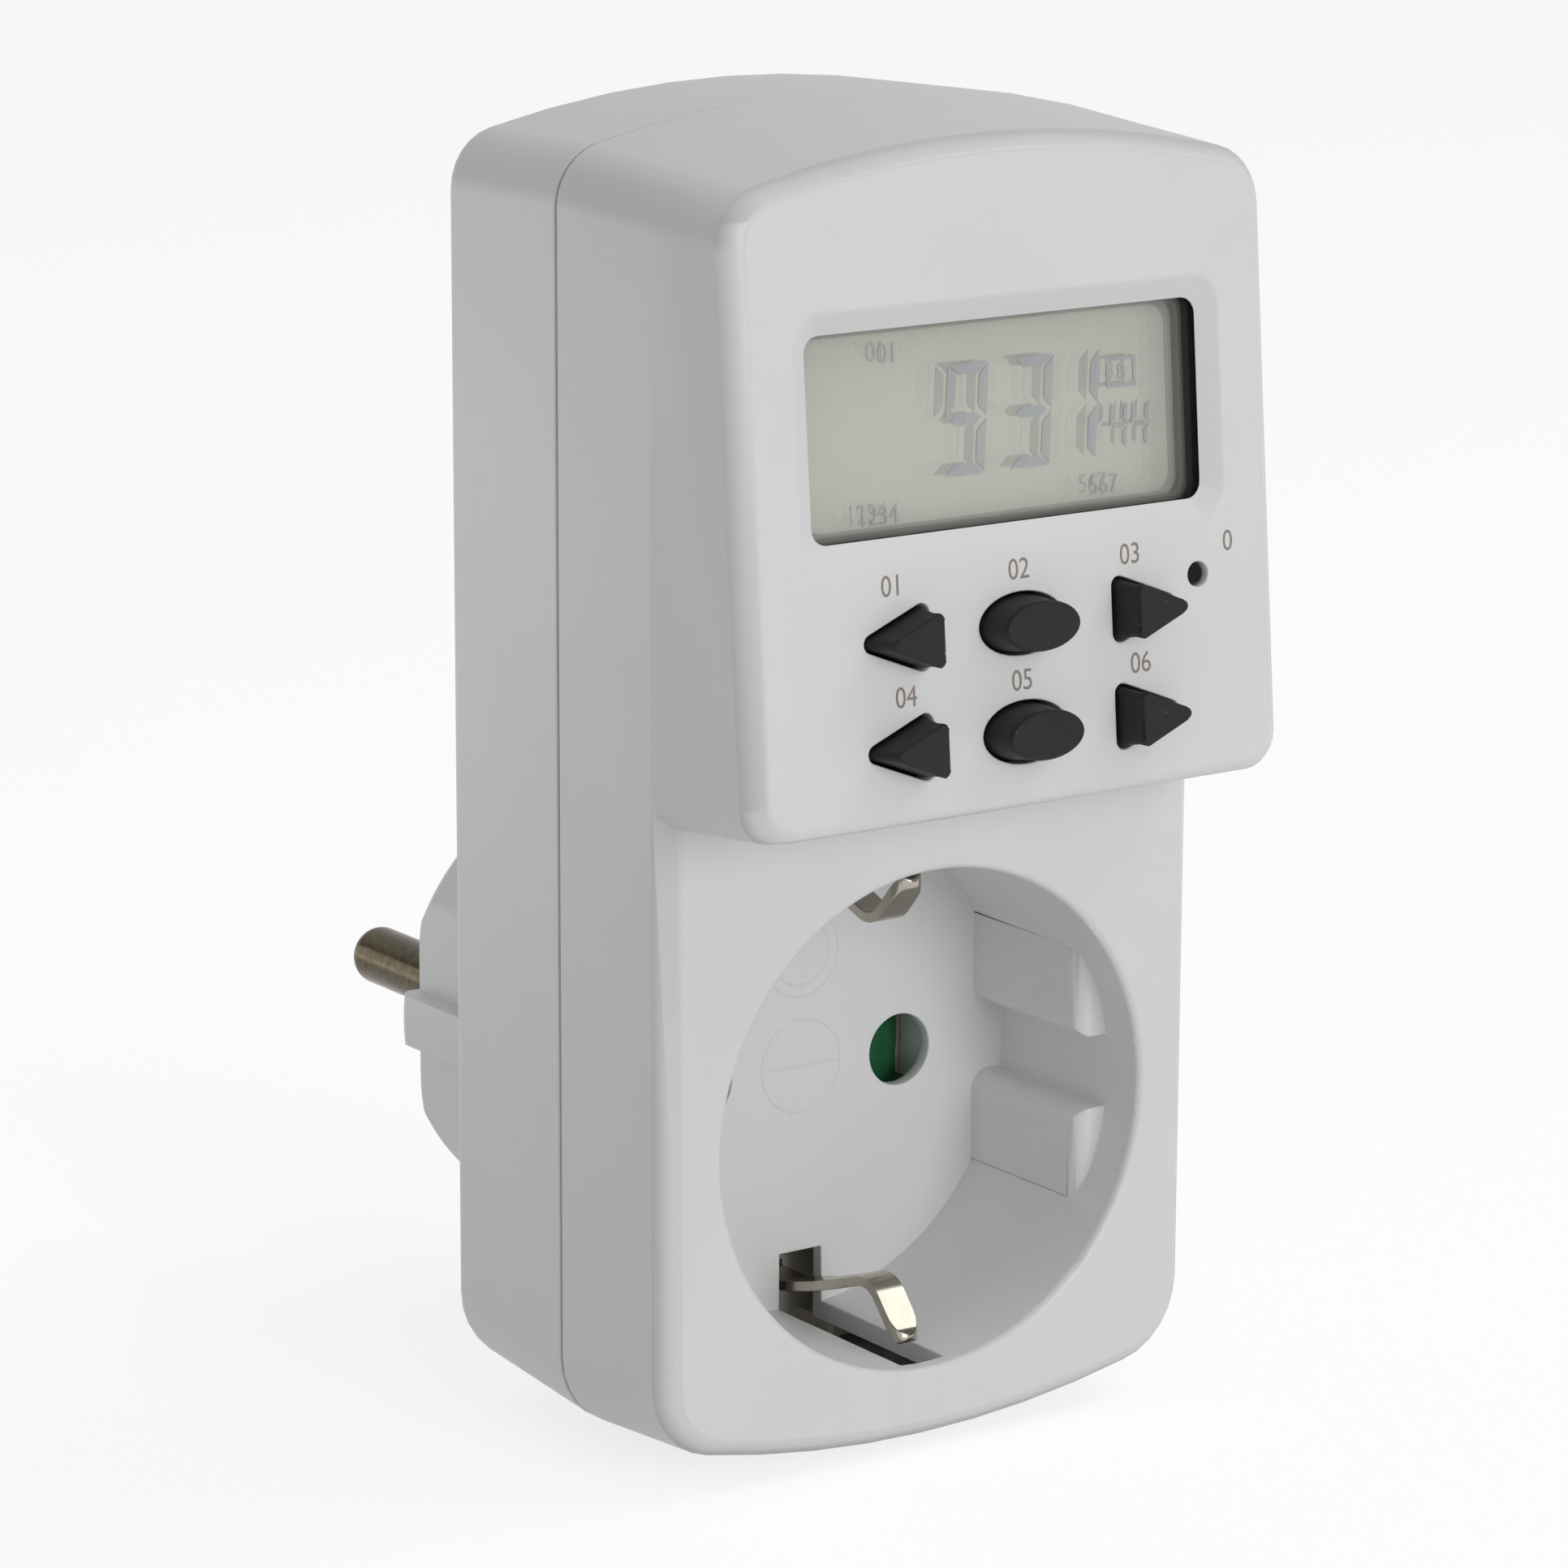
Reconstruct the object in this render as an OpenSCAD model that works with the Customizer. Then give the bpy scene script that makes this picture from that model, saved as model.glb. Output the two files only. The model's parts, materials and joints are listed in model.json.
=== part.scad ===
// Plug-in timer switch: an earthed plug behind, an earthed socket recess in front and a
// leaning display panel with six keys above it, in two moulded shells. Lengths in mm.
// Frame: origin at the centre of the plug's face, +Y to the wall, -Y to the user, +Z up.

/* [Shells] */
// width across the seam
body_w = 50.4; // [50:0.2:62]
// crown of the body above the socket's axis
crown_top = 77.2; // [76.8:0.2:94]
// base of the body below the socket's axis
base_drop = 26.2; // [26:0.2:32]
// rear shell from the seam to its back
back_depth = 16.4; // [16.4:0.2:20]
// front shell from the seam to the plate round the recess
front_depth = 13.6; // [13.2:0.2:16.4]
// wall thickness of both shells
wall = 1.8; // [1.6:0.1:2]
// radius of the arched crown and base
crown_r = 92; // [70:1:160]
// corner radius at the crown
top_corner_r = 4.6; // [4:0.1:6]
// corner radius at the base
base_corner_r = 6.3; // [5:0.1:8]
// width of the bevel round the plate and the panel
bevel = 1.65; // [1:0.05:1.8]

/* [Panel] */
// how far the panel's lower edge stands ahead of the plate
panel_step = 11.2; // [10.6:0.2:13.4]
// height of the panel's lower edge above the socket's axis
panel_bottom = 26.6; // [26:0.2:28]
// backward lean of the panel in degrees
panel_lean = 4.86; // [4:0.1:6]
// width of the clear opening over the display
glass_w = 35.3; // [30:0.1:36]
// height of the clear opening over the display
glass_h = 14.9; // [12.4:0.1:15.2]

/* [Keys] */
// spacing of the key columns
key_pitch_x = 11.3; // [10.2:0.1:12]
// spacing of the key rows
key_pitch_v = 8.03; // [7.4:0.1:8.4]
// length of an oval key
key_len = 7.3; // [6:0.1:7.6]
// height of an oval key
key_high = 4.2; // [3.6:0.1:4.6]
// how far the keys stand proud of the panel
key_rise = 2.7; // [2:0.1:3.4]
// how far a key presses in
key_travel = 1; // [0.6:0.1:1]

/* [Plug and socket] */
// length of the plug's body behind the rear shell
boss_len = 18.2; // [17:0.2:20]
// radius of the plug's body
boss_r = 18.5; // [18:0.1:18.8]
// diameter of the plug's pins
pin_d = 4.8; // [4:0.1:5]
// length of the plug's pins
pin_len = 19; // [17:0.5:22]
// distance between the two pins
pin_pitch = 19; // [18.6:0.1:19.2]
// radius of the socket's recess
recess_r = 19.6; // [19.4:0.1:20]
// depth of the socket's recess
recess_depth = 17.8; // [17:0.1:18]
// diameter of a contact hole in the recess floor
hole_d = 5.8; // [5.2:0.1:7]
// distance the safety shutter slides
shutter_travel = 6.2; // [6:0.1:6.2]

/* [Hidden] */
$fn = 64;

// planes across the body
back_y = -boss_len;
seam_y = back_y - back_depth;
plate_y = seam_y - front_depth;
seam_gap = 0.15;
side_draft = 0.029;
crown_draft = 0.0664;
bevel_y = plate_y + bevel;
back_wall = 2;
back_in = back_y - back_wall;
lip_depth = 1.8;

// socket
floor_t = 1.2;
floor_y = plate_y + recess_depth;
floor_back = floor_y + floor_t;
cup_r = recess_r + 1.6;
rim_r = 0.6;
guide_flat = 16.64;
clip_slot = 14.95;
pin_x = pin_pitch / 2;
hole_r = hole_d / 2;
pin_r = pin_d / 2;
neck_r = pin_r - 0.2;
tip_r = 1.6;
face_t = 3;

// insert behind the socket floor
shutter_t = 3;
shutter_y = floor_back + 0.3;
shutter_end = pin_x + hole_r + 0.2;
carrier_y = shutter_y + shutter_t + 0.3;
carrier_t = 1.6;
carrier_back = carrier_y + carrier_t;
foot_out = cup_r + 1.4;
tube_in = pin_r + 0.1;
tube_out = tube_in + 0.6;
well_in = tube_out + 0.1;
well_out = well_in + 0.9;
tube_front = carrier_back + 0.2;
tube_back = tube_front + 14.2;
well_back = tube_back - 0.4;
ledge = 17.9;
strap_y = back_in - 1.5;
strap_t = 0.8;
root_y = strap_y - 0.5;
seat_x = -21.8;

// panel stack, as depths behind the panel's face
panel_wall = 2;
lens_d = 1;
cell_d = 3.4;
board_d = 8.5;
board_t = 1.6;
board_back = board_d + board_t;
flange_d = 2.4;
glass_v = 28.75;
row_v = [13.85, 13.85 - key_pitch_v];
reset_at = [16.5, 15.65];
reset_hole_r = 0.95;
logic_posts = [[-18.6, 7.6], [18.6, 7.6], [-9, 41.4], [9, 41.4]];

// mains board
mains_t = 1.6;
mains_y = back_in - 2.8 - mains_t;
mains_back = mains_y + mains_t;
mains_low = 24;
mains_top = crown_top - 12.2;
mains_pegs = [[-19, 27.5], [19, 27.5], [-19, mains_top - 4], [19, mains_top - 4]];

// screws
screw_low = [body_w / 2 - 6.2, -base_drop + 8];
screw_high = [body_w / 2 - 5.6, crown_top - 8];
screw_seat = back_y - 12;
carrier_screw = [18.2, 17.5];

function arc(x, z, r, a0, a1, n, first) =
    [for (i = [first:n]) let (a = a0 + (a1 - a0) * i / n) [x + r * cos(a), z + r * sin(a)]];

// right half of the arched outline, from the base's middle up to the crown's middle
function half_outline(w, t, b, rt, rb, top_r, base_r) =
    let (ht = sqrt(pow(top_r - rt, 2) - pow(w - rt, 2)))
    let (hb = sqrt(pow(base_r - rb, 2) - pow(w - rb, 2)))
    let (at = atan2(ht, w - rt))
    let (ab = atan2(hb, w - rb))
    concat(
        arc(0, b + base_r, base_r, -90, -ab, 4, 0),
        arc(w - rb, b + base_r - hb, rb, -ab, 0, 6, 1),
        arc(w - rt, t - top_r + ht, rt, 0, at, 6, 0),
        arc(0, t - top_r, top_r, at, 90, 4, 1));

function mirrored(half) =
    concat(half, [for (i = [len(half) - 2:-1:1]) [-half[i][0], half[i][1]]]);

function outline(w, t, b, rt, rb, top_r, base_r) =
    mirrored(half_outline(w, t, b, rt, rb, top_r, base_r));

// outline of a shell's wall, where an inset keeps the centre of every arc
function shell_outline(w, t, b, inset) =
    outline(w - inset, t - inset, b + inset, max(top_corner_r - inset, 0.8),
        max(base_corner_r - inset, 0.8), crown_r - inset, crown_r - inset);

// front shell's outline on the plane y, moved in by inset
function front_outline(y, inset) =
    let (w = body_w / 2 - side_draft * (seam_y - y))
    let (t = crown_top - crown_draft * (seam_y - y))
    let (b = -base_drop + crown_draft * (seam_y - y))
    shell_outline(w, t, b, inset);

// rear shell's outline on the plane y, moved in by inset
function back_outline(y, inset) =
    let (s = (y - seam_y) / back_depth)
    shell_outline(body_w / 2 - 0.6 * s, crown_top - 0.6 * s, -base_drop + 1.1 * s, inset);

function panel_y(z) = plate_y - panel_step + (z - panel_bottom) * tan(panel_lean);

// panel block's outline at a depth behind the leaning face, or on the plane y
function panel_outline(y_side, y_top, inset, top_in, base_z) =
    let (w = body_w / 2 - side_draft * (seam_y - y_side) - inset)
    let (t = crown_top - crown_draft * (seam_y - y_top) - top_in)
    outline(w, t, base_z, max(top_corner_r - inset, 0.8), 2.6, crown_r - top_in, 3000);

function leaning_loop(depth, inset, top_in, base_z) =
    let (flat = panel_outline(panel_y(50) + depth, panel_y(crown_top) + depth, inset, top_in, base_z))
    [for (p = flat) [p[0], panel_y(p[1]) + depth, p[1]]];

function upright_loop(y, inset, base_z) =
    [for (p = panel_outline(y, y, inset, inset, base_z)) [p[0], y, p[1]]];

function ring(points, y) = [for (p = points) [p[0], y, p[1]]];

function rounded_box(w, h, r, n) =
    concat(
        arc(w / 2 - r, -h / 2 + r, r, -90, 0, n, 0),
        arc(w / 2 - r, h / 2 - r, r, 0, 90, n, 0),
        arc(-w / 2 + r, h / 2 - r, r, 90, 180, n, 0),
        arc(-w / 2 + r, -h / 2 + r, r, 180, 270, n, 0));

// solid through closed loops of equal length, listed from front to back
module skin(loops) {
    n = len(loops[0]);
    m = len(loops);
    sides = [for (i = [0:m - 2]) for (j = [0:n - 1]) for (half = [0, 1])
        let (a = i * n + j)
        let (b = i * n + (j + 1) % n)
        j < n / 2 ?
            (half == 0 ? [a, b, b + n] : [a, b + n, a + n]) :
            (half == 0 ? [a, b, a + n] : [b, b + n, a + n])];
    front = [for (j = [n - 1:-1:0]) j];
    back = [for (j = [0:n - 1]) (m - 1) * n + j];
    polyhedron([for (loop = loops) for (p = loop) p], concat(sides, [front, back]));
}

// a flat X-Z shape given thickness along Y, from y0 to y1
module slab(y0, y1) {
    translate([0, y1, 0]) rotate([90, 0, 0]) linear_extrude(y1 - y0) children();
}

module rod(x, z, y0, y1, r) {
    translate([x, y1, z]) rotate([90, 0, 0]) cylinder(r = r, h = y1 - y0);
}

// a (radius, y) profile turned about the Y axis
module turned() {
    rotate([-90, 0, 0]) rotate_extrude() children();
}

// children in panel axes: X across, Y is the depth behind the face, Z up the face
module on_panel() {
    translate([0, plate_y - panel_step, panel_bottom]) rotate([-panel_lean, 0, 0]) children();
}

module both_sides() {
    children();
    mirror([1, 0, 0]) children();
}

module above_and_below() {
    children();
    mirror([0, 0, 1]) children();
}

module plate(x0, x1, z0, z1) {
    translate([x0, z0]) square([x1 - x0, z1 - z0]);
}

// ---- keys ----

function oval(a, b) = [for (i = [0:35]) [a * cos(i * 10), b * sin(i * 10)]];

// three-cornered outline pointing to +X, grown by g
function wedge(g) =
    let (r = 0.45 + max(g, 0))
    let (tip = key_len * 0.37)
    let (back = key_len * 0.37)
    let (up = key_high / 2 + 0.12)
    let (shrink = min(g, 0))
    let (slope = atan2(up, tip + back))
    concat(
        arc(-back + 0.45 - shrink, -up + 0.45 - shrink, r, 180, 270 + slope, 11, 0),
        arc(tip - 0.5 + shrink * 2, 0, r, 270 + slope, 450 - slope, 11, 0),
        arc(-back + 0.45 - shrink, up - 0.45 + shrink, r, 90 - slope, 180, 11, 0));

// a key's outline: shape is 0 for an oval, 1 or -1 for a wedge pointing right or left
function key_outline(shape, g) =
    shape == 0 ? oval(key_len / 2 + g, key_high / 2 + g) :
    shape == 1 ? wedge(g) :
    [for (i = [len(wedge(g)) - 1:-1:0]) [-wedge(g)[i][0], wedge(g)[i][1]]];

function key_x(column) = column * key_pitch_x;

module key(column, row, shape) {
    at = [key_x(column), 0, row_v[row]];
    on_panel() translate(at) {
        skin([
            ring(key_outline(shape, -0.42), -key_rise),
            ring(key_outline(shape, -0.22), -key_rise + 0.12),
            ring(key_outline(shape, -0.26), -key_rise * 0.6),
            ring(key_outline(shape, -0.14), -key_rise * 0.25),
            ring(key_outline(shape, 0), 0.1),
            ring(key_outline(shape, 0), flange_d + 0.2)]);
        slab(flange_d, flange_d + 1) polygon(key_outline(shape, 0.7));
        rod(0, 0, flange_d + 0.5, 7.2, 1.5);
    }
}

// ---- shells ----

// body of the front shell: the plate and the leaning panel block, hollowed as one moulding
module front_shell() {
    panel_floor = panel_bottom - 1.1;
    outer = [
        ring(front_outline(bevel_y, bevel), plate_y),
        ring(front_outline(bevel_y, 0), bevel_y),
        ring(front_outline(seam_y - seam_gap, 0), seam_y - seam_gap)];
    block = [
        leaning_loop(0, bevel, 1.2, panel_bottom + 1.2),
        leaning_loop(0.35, bevel - 0.35, 0.95, panel_bottom + 0.42),
        leaning_loop(0.9, bevel - 0.9, 0.55, panel_bottom + 0.08),
        leaning_loop(bevel, 0, 0, panel_bottom),
        upright_loop(bevel_y, 0, panel_floor),
        upright_loop(bevel_y + 0.4, 0.3, panel_floor + 0.3)];
    plate_in = plate_y + panel_wall;
    room = [
        ring(front_outline(plate_in, wall), plate_in),
        ring(front_outline(seam_y + 1, wall), seam_y + 1)];
    panel_room = [
        leaning_loop(panel_wall, wall, wall, panel_bottom + wall),
        upright_loop(plate_in, wall, panel_floor + wall),
        upright_loop(plate_in + 0.4, wall + 0.3, panel_floor + wall + 0.3)];
    rebate = [
        ring(front_outline(seam_y - lip_depth - 0.2, wall / 2), seam_y - lip_depth - 0.2),
        ring(front_outline(seam_y + 1, wall / 2), seam_y + 1)];
    // one mesh, so that the drafted faces meet without slivers
    resize([0, 0, 0]) {
        difference() {
            union() {
                skin(outer);
                skin(block);
            }
            skin(room);
            skin(panel_room);
            skin(rebate);
        }
    }
}

module recess_profile() {
    plate(0, recess_r, plate_y - 1, floor_y);
    difference() {
        plate(recess_r - 0.1, recess_r + rim_r, plate_y - 1, plate_y + rim_r);
        translate([recess_r + rim_r, plate_y + rim_r]) circle(rim_r);
    }
}

// ribs at the recess's sides that hold the plug's grooves
module guide_ribs() {
    slot_half = 2.9;
    edge = 1.4;
    both_sides() intersection() {
        translate([0, 0, -10.2]) linear_extrude(20.4) {
            plate(guide_flat, recess_r + 0.8, plate_y + 5.5, floor_y + 0.5);
            plate(guide_flat + 1.5, recess_r + 0.8, plate_y + 4, plate_y + 6);
            translate([guide_flat + 1.5, plate_y + 5.5]) circle(1.5);
        }
        above_and_below() slab(plate_y, floor_back) {
            plate(guide_flat + edge, recess_r + 2, slot_half, 10.2);
            plate(guide_flat - 1, recess_r + 2, slot_half + edge, 10.2);
            translate([guide_flat + edge, slot_half + edge]) circle(edge);
        }
        rod(0, 0, plate_y, floor_back, recess_r + 0.8);
    }
}

module front_bosses() {
    both_sides() {
        rod(screw_low[0], screw_low[1], plate_y + 1, seam_y - seam_gap, 3);
        rod(screw_high[0], screw_high[1], panel_y(screw_high[1]) + 1.6, seam_y - seam_gap, 3);
        rod(carrier_screw[0], carrier_screw[1], plate_y + 1, carrier_y, 2.6);
    }
    // wall that the resting shutter leans on
    slab(floor_back - 0.1, shutter_y + shutter_t)
        plate(shutter_end + 0.15, shutter_end + 1.35, -5.2, 5.2);
    on_panel() for (p = logic_posts) rod(p[0], p[1], panel_wall - 0.3, board_d, 2);
}

module panel_openings() {
    on_panel() {
        translate([0, 0, glass_v]) {
            skin([
                ring(rounded_box(glass_w + 2.4, glass_h + 2.4, 1.9, 5), -0.1),
                ring(rounded_box(glass_w, glass_h, 1.2, 5), lens_d)]);
            slab(lens_d - 0.1, panel_wall) polygon(rounded_box(glass_w, glass_h, 1.2, 5));
            slab(lens_d, panel_wall + 0.1) square([glass_w + 4.1, glass_h + 4], center = true);
        }
        for (row = [0, 1]) for (column = [-1:1]) translate([key_x(column), 0, row_v[row]])
            slab(-0.5, panel_wall + 0.2) polygon(key_outline(column, 0.25));
        rod(reset_at[0], reset_at[1], -0.5, panel_wall + 0.2, reset_hole_r);
        for (p = logic_posts) rod(p[0], p[1], 4.9, board_d + 0.1, 1);
    }
}

module front_housing() color("#EDEEEC") {
    difference() {
        union() {
            difference() {
                union() {
                    front_shell();
                    rod(0, 0, plate_y + 1, floor_back, cup_r);
                }
                turned() recess_profile();
            }
            guide_ribs();
            front_bosses();
        }
        above_and_below() translate([-2, plate_y + 1.5, clip_slot])
            cube([4, recess_depth + 1, cup_r + 0.8 - clip_slot]);
        both_sides() {
            rod(pin_x, 0, floor_y - 0.5, floor_back + 0.5, hole_r);
            rod(screw_low[0], screw_low[1], screw_seat - 15, seam_y, 1.5);
            rod(screw_high[0], screw_high[1], screw_seat - 15, seam_y, 1.5);
            rod(carrier_screw[0], carrier_screw[1], carrier_y - 9, carrier_y + 0.1, 1.2);
        }
        panel_openings();
    }
}

// drafted rear shell with its rounded back edge and the tongue that enters the front shell
module back_shell() {
    edge = 1.5;
    outer = concat(
        [ring(back_outline(seam_y + seam_gap, 0), seam_y + seam_gap)],
        [for (a = [0, 22, 45, 67, 90])
            let (y = back_y - edge + edge * sin(a))
            ring(back_outline(y, edge * (1 - cos(a))), y)]);
    room = [
        ring(back_outline(seam_y - 1, wall), seam_y - 1),
        ring(back_outline(back_in, wall + 0.2), back_in)];
    tongue_y = seam_y - lip_depth;
    tongue = [
        ring(front_outline(tongue_y, wall / 2 + 0.1), tongue_y),
        ring(back_outline(seam_y + 0.6, wall / 2 + 0.1), seam_y + 0.6)];
    tongue_room = [
        ring(front_outline(tongue_y - 1, wall), tongue_y - 1),
        ring(back_outline(seam_y + 1, wall), seam_y + 1)];
    // one mesh, so that the drafted faces meet without slivers
    resize([0, 0, 0]) {
        difference() {
            union() {
                skin(outer);
                skin(tongue);
            }
            skin(room);
            skin(tongue_room);
        }
    }
}

// plug's outline: side grooves with a middle rib, earth notches above and below
module boss_outline() {
    difference() {
        circle(boss_r);
        both_sides() above_and_below_2d() plate(16.4, boss_r + 1, 2.1, 12);
        above_and_below_2d() plate(-3.5, 3.5, 15.3, boss_r + 1);
    }
}

module above_and_below_2d() {
    children();
    mirror([0, 1]) children();
}

module boss_body() {
    edge = 1.4;
    intersection() {
        slab(back_in + 0.2, 0) boss_outline();
        turned() union() {
            plate(0, boss_r + 1, back_in, -edge);
            plate(0, boss_r - edge, back_in, 0);
            translate([boss_r - edge, -edge]) circle(edge);
        }
    }
}

module screw_columns() {
    both_sides() {
        rod(screw_low[0], screw_low[1], seam_y + seam_gap, back_in + 0.5, 3.4);
        rod(screw_high[0], screw_high[1], seam_y + seam_gap, back_in + 0.5, 3.4);
    }
}

module back_cover() color("#EDEEEC") {
    difference() {
        union() {
            back_shell();
            boss_body();
            screw_columns();
            for (p = mains_pegs) rod(p[0], p[1], mains_back, back_in + 0.5, 2);
            for (p = mains_pegs) rod(p[0], p[1], mains_y - 0.8, mains_back + 0.5, 1.2);
            for (x = [-6.5, 6.5]) rod(x, -11.5, carrier_back, back_in + 0.5, 1.5);
        }
        rod(0, 0, back_in - 0.5, -face_t, 14.2);
        both_sides() {
            rod(pin_x, 0, -face_t - 0.5, 0.5, neck_r + 0.03);
            rod(pin_x, 0, -0.5, 0.5, pin_r + 0.08);
            for (p = [screw_low, screw_high]) {
                rod(p[0], p[1], screw_seat, back_y + 0.5, 2.9);
                rod(p[0], p[1], seam_y - 0.5, screw_seat + 0.1, 1.6);
            }
        }
        above_and_below() slab(back_in - 0.5, back_y + 0.01) plate(-2.5, 2.5, 15.3, 16.5);
    }
}

// ---- plug pins ----

module pin_profile(tail_y) {
    intersection() {
        plate(0, 10, -20, pin_len);
        union() {
            plate(0, pin_r, 0, pin_len - tip_r);
            plate(0, pin_r - tip_r, -face_t, pin_len);
            plate(0, neck_r, -face_t, 0);
            translate([pin_r - tip_r, pin_len - tip_r]) circle(tip_r);
            plate(0, 3.5, -face_t - 1.2, -face_t);
            plate(0, 1.5, tail_y, -face_t);
        }
    }
}

module plug_pin_left() color("#C9C8C4") {
    translate([-pin_x, 0, 0]) turned() pin_profile(tube_back);
}

module plug_pin_right() color("#C9C8C4") {
    translate([pin_x, 0, 0]) turned() pin_profile(-7);
}

// ---- display ----

module display_window() color("#DCE3E2", 0.4) {
    on_panel() translate([0, 0, glass_v]) slab(lens_d, panel_wall)
        square([glass_w + 3.7, glass_h + 3.6], center = true);
}

module display_frame() color("#1B1C1D") {
    on_panel() translate([0, 0, glass_v]) difference() {
        slab(panel_wall, board_d) square([glass_w + 5.7, glass_h + 5.7], center = true);
        slab(panel_wall - 0.1, cell_d + 0.1) square([glass_w + 0.6, glass_h + 0.6], center = true);
        slab(cell_d, board_d + 0.1) square([glass_w + 2.3, glass_h + 2.3], center = true);
    }
}

module display_cell() color("#B9BBAC") {
    on_panel() translate([0, 0, glass_v]) slab(cell_d, cell_d + 2.2)
        square([glass_w + 2.1, glass_h + 2.1], center = true);
}

module zebra_strips() color("#3B3B42") {
    on_panel() translate([0, 0, glass_v]) above_and_below() slab(cell_d + 2.2, board_d)
        plate(-glass_w / 2, glass_w / 2, glass_h / 2 - 1, glass_h / 2 + 0.6);
}

// ---- keys and what they press ----

module key_up() color("#333536") key(-1, 0, -1);
module key_set() color("#333536") key(0, 0, 0);
module key_down() color("#333536") key(1, 0, 1);
module key_random() color("#333536") key(-1, 1, -1);
module key_countdown() color("#333536") key(0, 1, 0);
module key_manual() color("#333536") key(1, 1, 1);

module key_mat() color("#8E9296") {
    on_panel() difference() {
        union() {
            slab(7.4, board_d) plate(-13.8, 13.8, row_v[1] - 3.4, row_v[0] + 3.3);
            for (v = row_v) for (column = [-1:1]) rod(key_x(column), v, 5.6, 7.5, 2.4);
        }
        for (v = row_v) for (column = [-1:1]) rod(key_x(column), v, 5.5, board_d + 0.1, 1.7);
    }
}

module reset_plunger() color("#2C2D2E") {
    on_panel() {
        rod(reset_at[0], reset_at[1], panel_wall + 0.2, 6.7, 1.3);
        rod(reset_at[0], reset_at[1], 0.45, panel_wall + 0.3, reset_hole_r - 0.25);
    }
}

module reset_switch() color("#3F4245") {
    on_panel() difference() {
        translate([reset_at[0] - 2.25, 5.5, reset_at[1] - 2.25]) cube([4.5, board_d - 5.5, 4.5]);
        rod(reset_at[0], reset_at[1], 5.4, 7.3, 1.4);
    }
}

// ---- logic board ----

module logic_board() color("#1F6B45") {
    on_panel() difference() {
        slab(board_d, board_back) union() {
            plate(-21, 21, 4.4, 39.2);
            plate(-13, 13, 39, 43.6);
        }
        for (p = logic_posts) rod(p[0], p[1], board_d - 0.1, board_back + 0.1, 1.1);
    }
}

module controller_chip() color("#26282A") {
    on_panel() {
        translate([-13, board_back, 19]) cube([10, 1.4, 10]);
        for (i = [0:7]) translate([-14, board_back, 19.8 + i * 1.14]) cube([12, 0.5, 0.4]);
        for (i = [0:7]) translate([-12.2 + i * 1.14, board_back, 18]) cube([0.4, 0.5, 12]);
    }
}

module backup_battery() color("#B4B7BA") {
    on_panel() {
        rod(12, 12, board_back, board_back + 5, 6);
        rod(12, 12, board_back + 4.9, board_back + 5.6, 5);
    }
}

module board_screws() color("#A9ACB0") {
    on_panel() for (p = logic_posts) {
        difference() {
            rod(p[0], p[1], board_back, board_back + 1.3, 1.9);
            translate([p[0] - 1.4, board_back + 0.7, p[1] - 0.25]) cube([2.8, 1, 0.5]);
        }
        rod(p[0], p[1], 5.2, board_back + 0.2, 0.95);
    }
}

// ---- insert behind the socket floor ----

module carrier_outline() {
    difference() {
        union() {
            plate(-17, 17, -14, 14);
            plate(-5, 5, -foot_out, foot_out);
            both_sides_2d() translate(carrier_screw) circle(3.2);
            both_sides_2d() plate(13.2, 17, 10, 17.5);
            plate(seat_x - 1, -16, -3.5, 3.5);
        }
        both_sides_2d() translate(carrier_screw) circle(1.5);
        above_and_below_2d() plate(-1.6, 1.6, ledge - 0.7, ledge + 1.7);
    }
}

module both_sides_2d() {
    children();
    mirror([1, 0]) children();
}

// octagon that many millimetres from its centre to each flat
module eight_sided(flat) polygon([for (i = [0:7]) flat / cos(22.5) * [cos(i * 45 + 22.5), sin(i * 45 + 22.5)]]);

module contact_carrier() color("#D8D4C4") {
    difference() {
        union() {
            slab(carrier_y, carrier_back) carrier_outline();
            above_and_below() slab(floor_back + 0.2, carrier_y + 0.1) plate(-20, 13.6, 5.7, 6.7);
            slab(floor_back + 0.2, carrier_y + 0.1) plate(seat_x - 1, seat_x, -3.5, 3.5);
            both_sides() above_and_below() {
                rod(13, 10, floor_back, carrier_y + 0.1, 1.5);
                // foot that locates the carrier on the outside of the recess's cup
                slab(floor_back - 1.5, carrier_y + 0.1) plate(3, 5, cup_r + 0.2, foot_out);
            }
            both_sides() rod(pin_x, 0, carrier_back - 0.1, well_back, well_out);
        }
        both_sides() {
            // eight-sided tunnel that holds the round contact
            slab(carrier_y - 0.1, well_back + 0.1) translate([pin_x, 0]) eight_sided(well_in);
            translate([pin_x + 2.5, carrier_back + 0.4, -2.9]) cube([4, 3, 5.8]);
        }
    }
}

// slit spring tube that grips an inserted pin, at the right-hand hole
module contact_tube() {
    difference() {
        rod(pin_x, 0, tube_front, tube_back, tube_out);
        rod(pin_x, 0, tube_front - 0.1, tube_back - 1, tube_in);
        translate([pin_x - 4, tube_front - 0.1, -0.4]) cube([4, 12, 0.8]);
    }
}

module contact_right() color("#C8A24A") contact_tube();
module contact_left() color("#C8A24A") mirror([1, 0, 0]) contact_tube();

module shutter() color("#1F7A4A") {
    front = shutter_y;
    back = shutter_y + shutter_t;
    span = shutter_end - pin_x;
    above_and_below() slab(front, back) plate(-shutter_end, shutter_end, 3.4, 5.4);
    // a ramp behind each hole, which an entering pin pushes aside
    for (x = [-pin_x, pin_x]) translate([x, 0, -3.5]) linear_extrude(7) polygon([
        [-span, front], [-span + 0.3, front], [span - 0.5, back - 0.4], [span - 0.5, back],
        [-span, back]]);
}

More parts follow.
